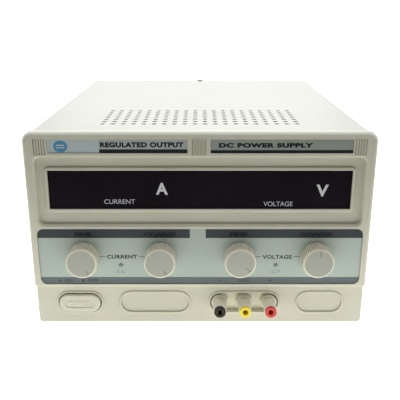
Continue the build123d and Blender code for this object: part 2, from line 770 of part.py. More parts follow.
socket_z = inlet_z + 5.2
drawer_z = inlet_z - 10.2
with BuildPart() as mains_inlet:
    with BuildSketch(facing(rear_face)) as inlet_flange:
        with Locations((inlet_x, Z(inlet_z))):
            RectangleRounded(50.0, 36.0, 4.0)
    extrude(amount=-3.0)
    fillet(mains_inlet.faces().sort_by(Axis.Y)[-1].edges(), 0.8)
    with BuildSketch(facing(rear_face)):
        with Locations((inlet_x, Z(inlet_z))):
            Rectangle(27.2, 31.0)
    extrude(amount=24.0)
    # appliance socket, two corners cut
    with BuildSketch(facing(rear_face + 3.0)) as socket:
        with Locations((inlet_x, Z(socket_z))):
            Rectangle(24.2, 16.2)
        chamfer(socket.vertices().group_by(Axis.Y)[-1], 4.5)
    extrude(amount=17.0, mode=Mode.SUBTRACT)
    # fuse drawer slot
    with BuildSketch(facing(rear_face + 3.0)):
        with Locations((inlet_x, Z(drawer_z))):
            Rectangle(24.2, 8.4)
    extrude(amount=22.0, mode=Mode.SUBTRACT)
    with BuildSketch(facing(rear_face + 3.0)):
        with Locations((inlet_x - 20.0, Z(inlet_z)), (inlet_x + 20.0, Z(inlet_z))):
            Circle(1.7)
    extrude(amount=3.0, mode=Mode.SUBTRACT)
mains_inlet.part.label = "mains_inlet"
export_step(mains_inlet.part, "parts/mains_inlet.step")

with BuildPart() as inlet_pins:
    with BuildSketch(facing(rear_face - 24.0)):
        with Locations((inlet_x - 7.0, Z(socket_z - 2.0)), (inlet_x + 7.0, Z(socket_z - 2.0)),
                       (inlet_x, Z(socket_z + 2.0))):
            Rectangle(2.0, 4.0)
    extrude(amount=6.0)
    with BuildSketch(facing(rear_face - 14.0)):
        with Locations((inlet_x - 7.0, Z(socket_z - 2.0)), (inlet_x + 7.0, Z(socket_z - 2.0)),
                       (inlet_x, Z(socket_z + 2.0))):
            Rectangle(2.0, 4.0)
    extrude(amount=-12.0)
inlet_pins.part.label = "inlet_pins"
export_step(inlet_pins.part, "parts/inlet_pins.step")

with BuildPart() as fuse_drawer:
    with BuildSketch(facing(rear_most)):
        with Locations((inlet_x, Z(drawer_z))):
            Rectangle(23.4, 7.6)
    extrude(amount=22.0)
    fillet(fuse_drawer.faces().sort_by(Axis.Y)[-1].edges(), 0.7)
    with BuildSketch(Plane(origin=(inlet_x, Y(rear_most - 12.0), Z(drawer_z + 3.8)),
                           x_dir=(1, 0, 0), z_dir=(0, 0, 1))):
        Rectangle(20.8, 5.8)
    extrude(amount=-6.6, mode=Mode.SUBTRACT)
fuse_drawer.part.label = "fuse_drawer"
export_step(fuse_drawer.part, "parts/fuse_drawer.step")

with BuildPart() as fuse:
    with BuildSketch(Plane(origin=(inlet_x - 10.0, Y(rear_most - 12.0), Z(drawer_z + 0.0)),
                           x_dir=(0, 1, 0), z_dir=(1, 0, 0))):
        Circle(2.6)
    extrude(amount=5.0)
    with BuildSketch(Plane(origin=(inlet_x - 5.0, Y(rear_most - 12.0), Z(drawer_z + 0.0)),
                           x_dir=(0, 1, 0), z_dir=(1, 0, 0))):
        Circle(2.35)
    extrude(amount=10.0)
    with BuildSketch(Plane(origin=(inlet_x + 5.0, Y(rear_most - 12.0), Z(drawer_z + 0.0)),
                           x_dir=(0, 1, 0), z_dir=(1, 0, 0))):
        Circle(2.6)
    extrude(amount=5.0)
fuse.part.label = "fuse"
export_step(fuse.part, "parts/fuse.step")

# ---------------------------------------------------------------------------
# Inside the case
# ---------------------------------------------------------------------------

board_h = 10.0
with BuildPart() as board_standoffs:
    with BuildSketch(floor_plane(pan_t)):
        with Locations(*standoff_places):
            RegularPolygon(2.75, 6, major_radius=False)
    extrude(amount=board_h - pan_t)
board_standoffs.part.label = "board_standoffs"
export_step(board_standoffs.part, "parts/board_standoffs.step")

with BuildPart() as main_board:
    with BuildSketch(floor_plane(board_h)):
        with Locations((-61.0, Y(124.0))):
            Rectangle(112.0, 126.0)
    extrude(amount=1.6)
main_board.part.label = "main_board"
export_step(main_board.part, "parts/main_board.step")

with BuildPart() as filter_capacitors:
    with BuildSketch(floor_plane(board_h + 1.6)):
        with Locations((-90.0, Y(155.0)), (-45.0, Y(155.0))):
            Circle(17.5)
    extrude(amount=50.0)
    fillet(filter_capacitors.faces().filter_by(Axis.Z).group_by(Axis.Z)[-1].edges(), 2.0)
filter_capacitors.part.label = "filter_capacitors"
export_step(filter_capacitors.part, "parts/filter_capacitors.step")

with BuildPart() as bridge_rectifier:
    with BuildSketch(floor_plane(board_h + 1.6)):
        with Locations((-40.0, Y(100.0))):
            Rectangle(28.5, 28.5)
    extrude(amount=10.0)
    chamfer(bridge_rectifier.edges().filter_by(Axis.Z).sort_by(Axis.X)[0], 4.0)
    with BuildSketch(floor_plane(board_h + 1.6)):
        with Locations((-40.0, Y(100.0))):
            Circle(2.6)
    extrude(amount=10.0, mode=Mode.SUBTRACT)
bridge_rectifier.part.label = "bridge_rectifier"
export_step(bridge_rectifier.part, "parts/bridge_rectifier.step")

with BuildPart() as heatsink:
    with BuildSketch(facing(200.0)):
        with Locations((-29.0, Z(pan_t + 54.0))):
            Rectangle(6.0, 108.0)
        with Locations(*[(-71.0, Z(pan_t + 4.0 + 11.1 * k)) for k in range(10)]):
            Rectangle(80.0, 2.2)
    extrude(amount=-80.0)
heatsink.part.label = "heatsink"
export_step(heatsink.part, "parts/heatsink.step")

with BuildPart() as power_transistors:
    for d in (212.0, 231.0, 250.0, 269.0):
        with BuildSketch(Plane(origin=(-26.0, Y(d), Z(70.0)), x_dir=(0, 1, 0), z_dir=(1, 0, 0))):
            Rectangle(15.6, 20.0)
            with Locations((0, 6.0)):
                Circle(1.7, mode=Mode.SUBTRACT)
        extrude(amount=5.0)
        with BuildSketch(Plane(origin=(-24.0, Y(d), Z(53.0)), x_dir=(0, 1, 0), z_dir=(1, 0, 0))):
            with Locations((-5.4, 0), (0, 0), (5.4, 0)):
                Rectangle(1.2, 14.0)
        extrude(amount=0.8)
power_transistors.part.label = "power_transistors"
export_step(power_transistors.part, "parts/power_transistors.step")

core_x, core_y = 62.0, 128.0
with BuildPart() as transformer_core:
    with BuildSketch(facing(core_y - 22.0)):
        with Locations((core_x, Z(pan_t + 40.0))):
            Rectangle(96.0, 80.0)
            with Locations((-24.0, 0), (24.0, 0)):
                Rectangle(16.0, 48.0, mode=Mode.SUBTRACT)
    extrude(amount=-44.0)
transformer_core.part.label = "transformer_core"
export_step(transformer_core.part, "parts/transformer_core.step")

with BuildPart() as transformer_winding:
    with BuildSketch(floor_plane(pan_t + 16.5)):
        with Locations((core_x, Y(core_y))):
            RectangleRounded(63.6, 74.0, 6.0)
            Rectangle(32.4, 44.4, mode=Mode.SUBTRACT)
    extrude(amount=47.0)
transformer_winding.part.label = "transformer_winding"
export_step(transformer_winding.part, "parts/transformer_winding.step")

with BuildPart() as output_leads:
    for i, (x, z) in enumerate(post_places):
        landing = -38.0 + 9.0 * i
        with BuildLine() as route:
            FilletPolyline((x, Y(24.0), z), (x, Y(38.0 + 7.0 * i), z),
                           (landing, Y(66.0 + 7.0 * i), Z(28.0)),
                           (landing, Y(66.0 + 7.0 * i), Z(board_h + 1.6)),
                           radius=5.0)
        with BuildSketch(Plane(origin=(x, Y(24.0), z), x_dir=(1, 0, 0), z_dir=(0, 1, 0))):
            Circle(1.6)
        sweep(path=route.wires()[0])
output_leads.part.label = "output_leads"
export_step(output_leads.part, "parts/output_leads.step")

# ---------------------------------------------------------------------------
# Screws: pan heads with a cross recess
# ---------------------------------------------------------------------------

with BuildPart() as cover_screws:
    seats = [seat(*s) for s in side_screws + top_screw]
    with Locations(*seats):
        Cylinder(3.0, 1.5, align=(Align.CENTER, Align.CENTER, Align.MIN))
        Cylinder(1.5, 5.0, align=(Align.CENTER, Align.CENTER, Align.MAX))
    with Locations(*[s.offset(1.5) for s in seats]):
        Box(3.2, 0.8, 0.9, align=(Align.CENTER, Align.CENTER, Align.MAX), mode=Mode.SUBTRACT)
        Box(0.8, 3.2, 0.9, align=(Align.CENTER, Align.CENTER, Align.MAX), mode=Mode.SUBTRACT)
cover_screws.part.label = "cover_screws"
export_step(cover_screws.part, "parts/cover_screws.step")

with BuildPart() as panel_screws:
    seats = [seat(x, rear_face, 8.0, (0, 1, 0)) for x in (-100.0, 0.0, 100.0)]
    seats += [seat(inlet_x + s * 20.0, rear_face + 3.0, inlet_z, (0, 1, 0)) for s in (-1, 1)]
    seats += [seat(fan_x + s * fan_pitch / 2, rear_face + 1.5, fan_z + t * fan_pitch / 2, (0, 1, 0))
              for s in (-1, 1) for t in (-1, 1)]
    seats += [seat(x, subpanel_y + sheet, h, (0, 1, 0)) for x in (-116.0, 116.0) for h in (43.0, 148.0)]
    with Locations(*seats):
        Cylinder(2.8, 1.5, align=(Align.CENTER, Align.CENTER, Align.MIN))
        Cylinder(1.5, 6.0, align=(Align.CENTER, Align.CENTER, Align.MAX))
    with Locations(*[s.offset(1.5) for s in seats]):
        Box(3.0, 0.8, 0.9, align=(Align.CENTER, Align.CENTER, Align.MAX), mode=Mode.SUBTRACT)
        Box(0.8, 3.0, 0.9, align=(Align.CENTER, Align.CENTER, Align.MAX), mode=Mode.SUBTRACT)
panel_screws.part.label = "panel_screws"
export_step(panel_screws.part, "parts/panel_screws.step")
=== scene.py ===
import bpy, bmesh, math
from math import cos, sin, radians, pi
from mathutils import Vector, Matrix


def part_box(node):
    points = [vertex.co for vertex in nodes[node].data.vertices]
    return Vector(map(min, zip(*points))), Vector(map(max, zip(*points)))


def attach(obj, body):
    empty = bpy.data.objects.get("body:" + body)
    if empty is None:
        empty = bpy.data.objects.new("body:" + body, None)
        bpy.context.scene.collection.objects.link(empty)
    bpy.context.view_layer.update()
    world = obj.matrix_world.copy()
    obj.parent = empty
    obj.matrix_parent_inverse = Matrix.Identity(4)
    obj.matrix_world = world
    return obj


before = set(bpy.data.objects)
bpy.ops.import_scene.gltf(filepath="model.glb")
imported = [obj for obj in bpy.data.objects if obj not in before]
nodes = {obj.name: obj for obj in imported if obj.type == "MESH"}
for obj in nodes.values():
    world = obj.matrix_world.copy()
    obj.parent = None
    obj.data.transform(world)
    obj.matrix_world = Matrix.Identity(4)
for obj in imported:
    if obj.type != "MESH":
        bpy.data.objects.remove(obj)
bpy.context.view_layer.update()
scene = bpy.context.scene

# --------------------------------------------------------------------------
# Row frame: metres. Y(d) is d millimetres behind the bezel's front plane,
# Z(h) is h millimetres above the case's bottom edge.
# --------------------------------------------------------------------------


def Y(d):
    return (-150.95 + d) / 1000.0


def Z(h):
    return (4.0 + h) / 1000.0


def lin(r, g, b):
    """8-bit sRGB to linear."""
    out = []
    for c in (r, g, b):
        c = c / 255.0
        out.append(c / 12.92 if c <= 0.04045 else ((c + 0.055) / 1.055) ** 2.4)
    return tuple(out)


# --------------------------------------------------------------------------
# Camera
# --------------------------------------------------------------------------
cam_data = bpy.data.cameras.new("bench_camera")
cam_data.lens = 54.84
cam_data.sensor_width = 36.0
cam_data.clip_start, cam_data.clip_end = 0.01, 50.0
cam = bpy.data.objects.new("bench_camera", cam_data)
cam.location = (0.0, -0.59183, 0.25526)
cam.rotation_euler = (radians(90.0 - 18.19), 0.0, 0.0)
scene.collection.objects.link(cam)
scene.camera = cam

# --------------------------------------------------------------------------
# Node helpers
# --------------------------------------------------------------------------


class Tree:
    def __init__(self, name):
        self.mat = bpy.data.materials.new(name)
        self.mat.use_nodes = True
        self.nt = self.mat.node_tree
        self.nt.nodes.clear()
        self.out = self.new("ShaderNodeOutputMaterial")
        self.bsdf = self.new("ShaderNodeBsdfPrincipled")
        self.link(self.bsdf.outputs[0], self.out.inputs[0])
        tc = self.new("ShaderNodeTexCoord")
        self.obj = tc.outputs["Object"]

    def new(self, kind, **props):
        n = self.nt.nodes.new(kind)
        for k, v in props.items():
            setattr(n, k, v)
        return n

    def link(self, a, b):
        self.nt.links.new(a, b)

    def put(self, socket, value):
        if hasattr(value, "is_output"):
            self.link(value, socket)
        else:
            socket.default_value = value

    def noise(self, scale, detail=2.0, rough=0.5, vector=None, distortion=0.0):
        n = self.new("ShaderNodeTexNoise")
        n.inputs["Scale"].default_value = scale
        n.inputs["Detail"].default_value = detail
        n.inputs["Roughness"].default_value = rough
        n.inputs["Distortion"].default_value = distortion
        self.link(vector or self.obj, n.inputs["Vector"])
        return n.outputs["Fac"]

    def voronoi(self, scale, feature="F1", vector=None):
        n = self.new("ShaderNodeTexVoronoi", feature=feature)
        n.inputs["Scale"].default_value = scale
        self.link(vector or self.obj, n.inputs["Vector"])
        return n.outputs["Distance"]

    def stretch(self, x, y, z, rot=(0, 0, 0), loc=(0, 0, 0)):
        n = self.new("ShaderNodeMapping")
        n.inputs["Scale"].default_value = (x, y, z)
        n.inputs["Rotation"].default_value = rot
        n.inputs["Location"].default_value = loc
        self.link(self.obj, n.inputs["Vector"])
        return n.outputs[0]

    def axes(self, vector=None):
        n = self.new("ShaderNodeSeparateXYZ")
        self.link(vector or self.obj, n.inputs[0])
        return n.outputs

    def math(self, op, a, b=None, c=None, clamp=False):
        n = self.new("ShaderNodeMath", operation=op, use_clamp=clamp)
        self.put(n.inputs[0], a)
        if b is not None:
            self.put(n.inputs[1], b)
        if c is not None:
            self.put(n.inputs[2], c)
        return n.outputs[0]

    def ramp(self, fac, lo, hi, to_lo=0.0, to_hi=1.0):
        n = self.new("ShaderNodeMapRange", clamp=True)
        self.put(n.inputs[0], fac)
        n.inputs[1].default_value, n.inputs[2].default_value = lo, hi
        n.inputs[3].default_value, n.inputs[4].default_value = to_lo, to_hi
        return n.outputs[0]

    def mix(self, fac, a, b, blend="MIX"):
        n = self.new("ShaderNodeMix", data_type="RGBA", blend_type=blend)
        self.put(n.inputs[0], fac)
        for s, v in ((n.inputs[6], a), (n.inputs[7], b)):
            if hasattr(v, "is_output"):
                self.link(v, s)
            else:
                s.default_value = (*v[:3], 1.0)
        return n.outputs[2]

    def edges(self, radius, lo=0.02, hi=0.22):
        """1 on sharp or tightly rounded edges, 0 on flats."""
        bev = self.new("ShaderNodeBevel", samples=4)
        bev.inputs["Radius"].default_value = radius
        geo = self.new("ShaderNodeNewGeometry")
        dot = self.new("ShaderNodeVectorMath", operation="DOT_PRODUCT")
        self.link(bev.outputs[0], dot.inputs[0])
        self.link(geo.outputs["Normal"], dot.inputs[1])
        away = self.math("SUBTRACT", 1.0, dot.outputs["Value"])
        return self.ramp(away, lo * 0.5, hi * 0.5)

    def crevice(self, distance):
        """1 in corners and grooves, 0 in the open."""
        ao = self.new("ShaderNodeAmbientOcclusion", samples=6, only_local=True)
        ao.inputs["Distance"].default_value = distance
        return self.ramp(ao.outputs["AO"], 0.35, 0.85, 1.0, 0.0)

    def bump(self, height, strength, distance, normal=None):
        n = self.new("ShaderNodeBump")
        n.inputs["Strength"].default_value = strength
        n.inputs["Distance"].default_value = distance
        self.link(height, n.inputs["Height"])
        if normal is not None:
            self.link(normal, n.inputs["Normal"])
        return n.outputs[0]

    def colour(self, v):
        self.put(self.bsdf.inputs["Base Color"], v if hasattr(v, "is_output") else (*v[:3], 1.0))

    def rough(self, v):
        self.put(self.bsdf.inputs["Roughness"], v)

    def normal(self, v):
        self.link(v, self.bsdf.inputs["Normal"])

    def set(self, **kw):
        names = {"metal": "Metallic", "spec": "Specular IOR Level", "coat": "Coat Weight",
                 "coat_rough": "Coat Roughness", "sheen": "Sheen Weight", "ior": "IOR",
                 "trans": "Transmission Weight", "sub": "Subsurface Weight",
                 "aniso": "Anisotropic"}
        for k, v in kw.items():
            self.bsdf.inputs[names[k]].default_value = v


def shade(c, k):
    return tuple(min(1.0, x * k) for x in c[:3])


def moulding(name, base, rough=0.5, spec=0.35, tone=0.035, grain=0.25, grain_scale=2600.0,
             wear=0.5, crevice_dust_and_shade=0.16, edge_wear_and_highlight_tint=1.10, crevice_dust_and_shade_tint=(0.66, 0.65, 0.57), painted_top_highlight=0.0,
             crevice_dust_and_shade_reach=0.0025):
    """Injection-moulded plastic with a spark-eroded grain, edges lightened by polish wear and painted highlight,
    and an AO crevice tint that is painted shade where darker and pale dust where lighter.
    """
    t = Tree(name)
    patch = t.ramp(t.noise(16.0, 3.0, 0.55), 0.30, 0.70)
    flow = t.ramp(t.noise(55.0, 2.0, 0.5, t.stretch(0.35, 1.0, 1.6)), 0.25, 0.75)
    speck = t.ramp(t.noise(1500.0, 2.0, 0.6), 0.35, 0.65)
    c = t.mix(patch, shade(base, 1.0 - tone), shade(base, 1.0 + tone))
    c = t.mix(t.math("MULTIPLY", flow, 0.35), c, shade(base, 1.0 - 0.8 * tone))
    c = t.mix(t.math("MULTIPLY", speck, 0.05), c, shade(base, 0.80))
    edge = t.edges(0.0006)
    # edges lightened by the edge tint: polish wear, and on the knobs a painted highlight on the rib tips
    c = t.mix(t.math("MULTIPLY", edge, wear), c, shade(base, edge_wear_and_highlight_tint))
    if painted_top_highlight:
        # painted highlight: faces turned upwards near the top of the case are painted paler, standing in for the
        # overhead light they catch
        up = t.new("ShaderNodeSeparateXYZ")
        t.link(t.new("ShaderNodeNewGeometry").outputs["Normal"], up.inputs[0])
        above = t.new("ShaderNodeSeparateXYZ")
        t.link(t.new("ShaderNodeTexCoord").outputs["Object"], above.inputs[0])
        facing_up = t.math("MULTIPLY", t.math("MULTIPLY", t.ramp(up.outputs["Z"], 0.05, 0.50),
                                              t.ramp(above.outputs["Z"], 0.154, 0.158)),
                           t.ramp(t.noise(120.0, 3.0, 0.6), 0.2, 0.8, 0.88, 1.0))
        c = t.mix(t.math("MULTIPLY", facing_up, painted_top_highlight), c, (0.90, 0.905, 0.80))
    if crevice_dust_and_shade:
        # AO crevice mask: where the tint is darker it is painted shade in corners and grooves; where it is lighter
        # (black nylon, rubber) it is pale dust
        tint_mask = t.math("MULTIPLY", t.crevice(crevice_dust_and_shade_reach), t.ramp(t.noise(180.0, 3.0, 0.6), 0.25, 0.75, 0.55, 1.0))
        c = t.mix(t.math("MULTIPLY", tint_mask, crevice_dust_and_shade), c, tuple(b * g for b, g in zip(base, crevice_dust_and_shade_tint)))
    t.colour(c)
    r = t.ramp(t.noise(300.0, 3.0, 0.6), 0.3, 0.7, rough - 0.06, rough + 0.06)
    r = t.math("SUBTRACT", r, t.math("MULTIPLY", edge, 0.10))
    t.rough(r)
    h = t.math("ADD", t.math("MULTIPLY", t.noise(grain_scale, 3.0, 0.6), 1.0),
               t.math("MULTIPLY", t.voronoi(grain_scale * 0.55), 0.5))
    t.normal(t.bump(h, grain, 0.00005))
    t.set(spec=spec)
    return t.mat


def paint(name, base, rough=0.42, spec=0.45, wear=0.35, metal_edge=(0.55, 0.55, 0.53)):
    """Fine-textured stoving paint on sheet steel: orange peel, tiny pits, thin edges."""
    t = Tree(name)
    patch = t.ramp(t.noise(7.0, 3.0, 0.5), 0.30, 0.70)
    c = t.mix(patch, shade(base, 0.985), shade(base, 1.015))
    speck = t.ramp(t.noise(1100.0, 2.0, 0.55), 0.55, 0.78)
    c = t.mix(t.math("MULTIPLY", speck, 0.10), c, shade(base, 0.86))
    smudge = t.ramp(t.noise(28.0, 4.0, 0.65, distortion=0.6), 0.55, 0.80)
    c = t.mix(t.math("MULTIPLY", smudge, 0.05), c, shade(base, 0.80))
    edge = t.edges(0.0008)
    chips = t.math("MULTIPLY", edge, t.ramp(t.noise(420.0, 3.0, 0.7), 0.62, 0.70))
    c = t.mix(t.math("MULTIPLY", edge, wear * 0.35), c, shade(base, 1.08))
    c = t.mix(t.math("MULTIPLY", chips, wear * 0.6), c, metal_edge)
    t.colour(c)
    t.rough(t.math("ADD", t.ramp(t.noise(240.0, 3.0, 0.6), 0.3, 0.7, rough - 0.05, rough + 0.06),
                   t.math("MULTIPLY", smudge, 0.08)))
    peel = t.math("ADD", t.noise(850.0, 2.0, 0.5), t.math("MULTIPLY", t.voronoi(1500.0, "SMOOTH_F1"), 0.6))
    t.normal(t.bump(peel, 0.30, 0.00006))
    t.set(spec=spec)
    return t.mat


def metal(name, base, rough=0.32, brushed=(1.0, 1.0, 12.0), wear=0.4, stain=0.25,
          stain_tint=(0.62, 0.58, 0.50), scale=260.0, bump=0.22, metallic=1.0):
    """Plated or machined metal: fine drawing lines, tarnish in patches, bright edges."""
    t = Tree(name)
    lines = t.noise(scale, 4.0, 0.65, t.stretch(*brushed))
    c = t.mix(t.ramp(lines, 0.3, 0.7), shade(base, 0.90), shade(base, 1.06))
    tarnish = t.ramp(t.noise(130.0, 4.0, 0.65), 0.48, 0.78)
    c = t.mix(t.math("MULTIPLY", tarnish, stain), c, tuple(b * g for b, g in zip(base, stain_tint)))
    edge = t.edges(0.0003)
    c = t.mix(t.math("MULTIPLY", edge, wear), c, shade(base, 1.20))
    t.colour(c)
    r = t.ramp(lines, 0.3, 0.7, rough - 0.07, rough + 0.09)
    t.rough(t.math("ADD", r, t.math("MULTIPLY", tarnish, 0.12)))
    t.normal(t.bump(lines, bump, 0.00003))
    t.set(metal=metallic, spec=0.5)
    return t.mat


def gloss(name, base, rough=0.22, spec=0.5, coat=0.0, scratch=0.5, tone=0.03, sub=0.0):
    """Polished moulding: faint swirl marks and a slightly uneven shine."""
    t = Tree(name)
    c = t.mix(t.ramp(t.noise(90.0, 2.0, 0.5), 0.3, 0.7), shade(base, 1.0 - tone), shade(base, 1.0 + tone))
    edge = t.edges(0.0003)
    c = t.mix(t.math("MULTIPLY", edge, 0.25), c, tuple(min(1.0, x * 1.15 + 0.01) for x in base))
    t.colour(c)
    hair = t.ramp(t.noise(420.0, 5.0, 0.75, t.stretch(0.15, 1.0, 1.7, (0, 0.5, 0))), 0.50, 0.80)
    t.rough(t.math("ADD", t.ramp(t.noise(60.0, 3.0, 0.6), 0.3, 0.7, rough - 0.03, rough + 0.04),
                   t.math("MULTIPLY", hair, 0.12 * scratch)))
    t.normal(t.bump(t.noise(700.0, 3.0, 0.6), 0.06, 0.00003))
    t.set(spec=spec, coat=coat, sub=sub)
    return t.mat


# --------------------------------------------------------------------------
# Finishes
# --------------------------------------------------------------------------
BEZEL = (0.600, 0.590, 0.480)
COVER = (0.740, 0.750, 0.700)
KNOB = (0.640, 0.615, 0.510)
KNOB_FACE_SHADE = (0.395, 0.400, 0.340)
OVERLAY = (0.420, 0.490, 0.435)

M = {}
# painted highlight: the bezel's upward faces near the top are painted paler
M["bezel"] = moulding("bezel_moulding", BEZEL, rough=0.42, spec=0.45, crevice_dust_and_shade=0.05, painted_top_highlight=0.95)
M["lower"] = moulding("lower_panel_moulding", shade(BEZEL, 1.0), crevice_dust_and_shade=0.05)
# painted light: the terminal plate is the bezel plastic painted 1.54 times lighter, standing in for light reaching
# the floor of the terminal recess
M["terminal"] = moulding("terminal_plate_painted_light", shade(BEZEL, 1.54), crevice_dust_and_shade=0.08)
M["button"] = moulding("button_moulding", shade(BEZEL, 1.04), rough=0.42, grain=0.12)
# painted shade and highlight: a strong short-reach AO mask darkens the rib grooves and the edge tint lightens the
# rib tips, standing in for the light across the ribs
M["knob"] = moulding("knob_moulding", shade(KNOB, 1.06), rough=0.46, grain=0.14, crevice_dust_and_shade=0.95, wear=0.8,
                     edge_wear_and_highlight_tint=1.16, crevice_dust_and_shade_tint=(0.50, 0.46, 0.38), crevice_dust_and_shade_reach=0.0011)
# painted shade: the knob faces are painted darker than the knob plastic
M["knob_face"] = moulding("knob_face_painted_shade", KNOB_FACE_SHADE, rough=0.40, grain=0.10, crevice_dust_and_shade=0.0, wear=0.25)
M["sleeve"] = moulding("sleeve_moulding", (0.78, 0.745, 0.62), rough=0.40, grain=0.10, crevice_dust_and_shade=0.45,
                       wear=0.6)
M["collar"] = moulding("collar_moulding", shade(BEZEL, 1.18), rough=0.45, grain=0.12, crevice_dust_and_shade=0.4)
M["cover"] = paint("cover_paint", COVER)
# painted shade: the rear panel is the cover paint darkened to 0.80, so its details read under the bright backdrop
M["rear"] = paint("rear_panel_paint_shaded", shade(COVER, 0.80))
M["zinc"] = metal("zinc_plate", (0.66, 0.67, 0.66), 0.38, (1.0, 8.0, 1.0), scale=180.0,
                  stain_tint=(0.78, 0.76, 0.66))
M["screw"] = metal("screw_plate", (0.60, 0.60, 0.57), 0.30, (1.0, 1.0, 1.0), scale=900.0, wear=0.6)
M["guard"] = metal("guard_chrome", (0.68, 0.69, 0.70), 0.22, (1.0, 1.0, 1.0), scale=500.0, stain=0.15)
M["shaft"] = metal("shaft_nickel", (0.62, 0.60, 0.55), 0.28, (1.0, 6.0, 1.0), scale=500.0)
M["brass"] = metal("socket_brass", (0.60, 0.47, 0.20), 0.30, (1.0, 0.3, 1.0), scale=700.0,
                   stain=0.45, stain_tint=(0.50, 0.40, 0.24))
M["pin"] = metal("inlet_pin_plate", (0.62, 0.58, 0.46), 0.26, (1.0, 6.0, 1.0), scale=400.0)
M["sink"] = metal("heatsink_aluminium", (0.56, 0.57, 0.58), 0.42, (1.0, 12.0, 1.0), scale=220.0)
M["black_cap"] = gloss("ring_black", (0.012, 0.011, 0.010), 0.34, 0.30)
M["yellow_cap"] = gloss("ring_yellow", (0.80, 0.66, 0.035), 0.30, 0.45, sub=0.0)
M["red_cap"] = gloss("ring_red", (0.60, 0.055, 0.048), 0.34, 0.40)
M["black"] = moulding("black_nylon", (0.022, 0.022, 0.021), rough=0.55, grain=0.3, crevice_dust_and_shade=0.25, wear=0.6,
                      edge_wear_and_highlight_tint=1.9, crevice_dust_and_shade_tint=(1.9, 1.8, 1.6))
M["rubber"] = moulding("foot_rubber", (0.030, 0.029, 0.028), rough=0.75, spec=0.2, grain=0.45,
                       grain_scale=1400.0, wear=0.35, edge_wear_and_highlight_tint=1.7, crevice_dust_and_shade=0.5, crevice_dust_and_shade_tint=(2.4, 2.2, 1.9))


def window_material():
    t = Tree("window_smoked_acrylic")
    base = (0.0095, 0.0070, 0.0105)
    c = t.mix(t.ramp(t.noise(22.0, 2.0, 0.5), 0.3, 0.7), shade(base, 0.85), shade(base, 1.15))
    tint_mask = t.ramp(t.noise(2100.0, 2.0, 0.7), 0.72, 0.80)
    c = t.mix(t.math("MULTIPLY", tint_mask, 0.05), c, (0.25, 0.24, 0.23))
    t.colour(c)
    hair = t.ramp(t.noise(260.0, 5.0, 0.8, t.stretch(0.12, 1.0, 2.2, (0, 0.25, 0))), 0.56, 0.82)
    t.rough(t.math("ADD", t.ramp(t.noise(40.0, 2.0, 0.5), 0.3, 0.7, 0.16, 0.20), t.math("MULTIPLY", hair, 0.14)))
    t.normal(t.bump(t.noise(34.0, 2.0, 0.5), 0.04, 0.0004))
    t.set(spec=0.22)
    return t.mat


def film_material(name, base, left_pale=None):
    """Back-printed film: a fine satin stipple over one flat ink."""
    t = Tree(name)
    c = t.mix(t.ramp(t.noise(9.0, 2.0, 0.5), 0.3, 0.7), shade(base, 0.975), shade(base, 1.02))
    c = t.mix(t.math("MULTIPLY", t.ramp(t.noise(1900.0, 1.0, 0.5), 0.45, 0.75), 0.06), c, shade(base, 0.80))
    if left_pale is not None:
        at, tint = left_pale
        x = t.axes()[0]
        side = t.math("LESS_THAN", x, at)
        c = t.mix(side, c, tint)
    edge = t.edges(0.0003)
    c = t.mix(t.math("MULTIPLY", edge, 0.5), c, shade(base, 1.12))
    t.colour(c)
    t.rough(t.ramp(t.noise(420.0, 3.0, 0.6), 0.3, 0.7, 0.34, 0.44))
    t.normal(t.bump(t.noise(2400.0, 2.0, 0.5), 0.16, 0.00004))
    t.set(spec=0.35)
    return t.mat


def ink(name, base, rough=0.45, cover=0.10):
    """Screen-printed ink: slight mesh pattern and uneven coverage."""
    t = Tree(name)
    mesh_x = t.noise(2600.0, 1.0, 0.4)
    c = t.mix(t.math("MULTIPLY", t.ramp(mesh_x, 0.4, 0.7), cover), base, tuple(min(1, b + 0.10) for b in base))
    c = t.mix(t.ramp(t.noise(30.0, 2.0, 0.5), 0.3, 0.7, 0.0, 0.15), c, tuple(b * 0.85 for b in base))
    t.colour(c)
    t.rough(t.ramp(t.noise(700.0, 2.0, 0.6), 0.3, 0.7, rough - 0.06, rough + 0.08))
    t.normal(t.bump(mesh_x, 0.14, 0.00002))
    t.set(spec=0.3)
    return t.mat


M["window"] = window_material()
M["overlay"] = film_material("overlay_film", OVERLAY)
M["label_left"] = film_material("label_film_left", (0.400, 0.450, 0.435),
                                (-0.0749, (0.47, 0.545, 0.545)))
M["label_right"] = film_material("label_film_right", (0.300, 0.325, 0.300))
M["ink_band_top"] = ink("ink_band_dark", lin(54, 61, 67))
M["ink_band_low"] = ink("ink_band_grey", lin(98, 108, 110))
M["ink_black"] = ink("ink_black", (0.012, 0.014, 0.018))
M["ink_dark"] = ink("ink_dark", (0.045, 0.055, 0.060))
M["ink_soft"] = ink("ink_soft", (0.16, 0.19, 0.19))
M["ink_white"] = ink("ink_white", (0.60, 0.61, 0.62))
M["ink_pale"] = ink("ink_pale", (0.50, 0.51, 0.53))
M["ink_blue"] = ink("ink_blue", (0.075, 0.270, 0.440))


def board_material():
    t = Tree("board_laminate")
    tracks = t.new("ShaderNodeTexBrick", offset=0.5)
    tracks.inputs["Scale"].default_value = 90.0
    tracks.inputs["Mortar Size"].default_value = 0.03
    tracks.inputs["Color1"].default_value = (0.010, 0.085, 0.030, 1)
    tracks.inputs["Color2"].default_value = (0.014, 0.110, 0.040, 1)
    tracks.inputs["Mortar"].default_value = (0.040, 0.200, 0.080, 1)
    t.link(t.obj, tracks.inputs["Vector"])
    holes = t.ramp(t.voronoi(180.0), 0.10, 0.14)
    c = t.mix(holes, (0.45, 0.43, 0.36), tracks.outputs["Color"])
    t.colour(c)
    t.rough(t.ramp(t.noise(200.0, 2.0, 0.5), 0.3, 0.7, 0.28, 0.40))
    t.normal(t.bump(tracks.outputs["Fac"], 0.2, 0.00006))
    t.set(spec=0.5, coat=0.3)
    return t.mat


